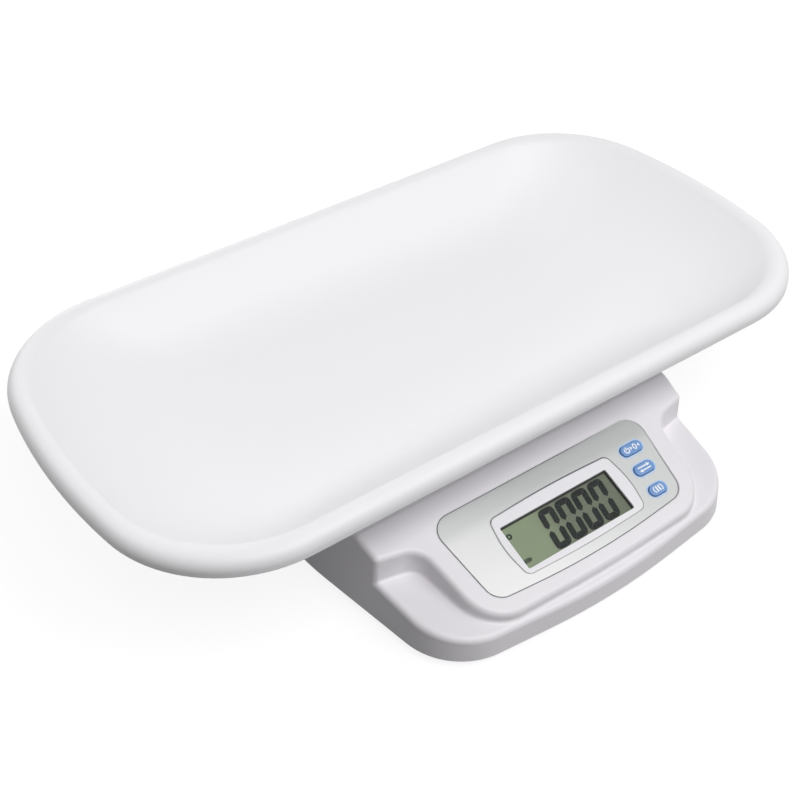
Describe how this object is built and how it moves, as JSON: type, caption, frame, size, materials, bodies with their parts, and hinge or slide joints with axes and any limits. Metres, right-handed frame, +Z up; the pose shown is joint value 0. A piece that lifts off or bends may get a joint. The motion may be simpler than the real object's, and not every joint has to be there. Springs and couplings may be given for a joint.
{
  "type": "digital baby weighing scale",
  "caption": "Baby weighing scale: a long moulded tray with a rolled rim on a load-cell base whose sloped console holds a digital display and push buttons.",
  "frame": {"origin": "centre of the footprint box, on the plane the feet stand on", "axes": "+X along the tray to the right of someone facing the display, +Y to the rear, +Z up"},
  "size_m": [0.55, 0.3532, 0.114],
  "materials": {
    "tray_plastic": "satin moulded",
    "housing_plastic": "fine satin",
    "overlay_print": "silver printed film",
    "bezel_plastic": "light silver paint",
    "window_clear": "clear",
    "display_cell": "grey-green",
    "diffuser": "milky",
    "button_blue": "satin",
    "board_laminate": "solder mask",
    "chip_resin": "moulded",
    "plug_nylon": "nylon",
    "zinc_steel": "zinc plated",
    "sheet_steel": "galvanised",
    "cell_aluminium": "machined",
    "pad_rubber": "matt",
    "battery_can": "printed sleeve",
    "contact_nickel": "nickel plated",
    "inlet_resin": "moulded",
    "cable_sheath": "matt",
    "lead_red": "matt"
  },
  "bodies": {
    "base": {"load_cell": "cell_aluminium", "lower_spacer": "cell_aluminium", "lower_bolts": "zinc_steel", "chassis_plate": "sheet_steel", "chassis_screws": "zinc_steel", "overload_stop_screw": "zinc_steel", "overload_stop_nut": "zinc_steel", "top_cover": "housing_plastic", "bottom_cover": "housing_plastic", "cover_screws": "zinc_steel", "rubber_feet": "pad_rubber", "panel_overlay": "overlay_print", "display_bezel": "bezel_plastic", "display_window": "window_clear", "display_glass": "display_cell", "display_backlight": "diffuser", "key_switches": "chip_resin", "main_board": "board_laminate", "board_screws": "zinc_steel", "board_chips": "chip_resin", "board_plugs": "plug_nylon", "battery_cells": "battery_can", "battery_flat_contacts": "contact_nickel", "battery_spring_contacts": "contact_nickel", "power_inlet": "inlet_resin", "sensor_cable": "cable_sheath", "power_leads": "lead_red", "battery_leads": "lead_red"},
    "platform": {"tray_support_plate": "sheet_steel", "tray_pads": "pad_rubber", "load_post": "cell_aluminium", "upper_bolts": "zinc_steel"},
    "tray": {"tray": "tray_plastic"},
    "upper_button": {"upper_button": "button_blue"},
    "middle_button": {"middle_button": "button_blue"},
    "lower_button": {"lower_button": "button_blue"},
    "battery_door": {"battery_door": "housing_plastic"}
  },
  "joints": [
    {"name": "platform_sink", "type": "slide", "parent": "base", "child": "platform", "axis": [0, 0, 1], "range_m": [-0.0006, 0], "stiffness_N_per_m": 100000, "springref_m": 0.00014, "deforming": ["load_cell"]},
    {"name": "tray_lift", "type": "slide", "parent": "platform", "child": "tray", "axis": [0, 0, 1], "range_m": [0, 0.12]},
    {"name": "upper_button_press", "type": "slide", "parent": "base", "child": "upper_button", "axis": [0, -0.346, 0.9383], "range_m": [-0.0008, 0], "stiffness_N_per_m": 1500, "springref_m": 0.0003},
    {"name": "middle_button_press", "type": "slide", "parent": "base", "child": "middle_button", "axis": [0, -0.346, 0.9383], "range_m": [-0.0008, 0], "stiffness_N_per_m": 1500, "springref_m": 0.0003},
    {"name": "lower_button_press", "type": "slide", "parent": "base", "child": "lower_button", "axis": [0, -0.346, 0.9383], "range_m": [-0.0008, 0], "stiffness_N_per_m": 1500, "springref_m": 0.0003},
    {"name": "door_slide", "type": "slide", "parent": "base", "child": "battery_door", "axis": [0, 1, 0], "range_m": [0, 0.075]}
  ]
}
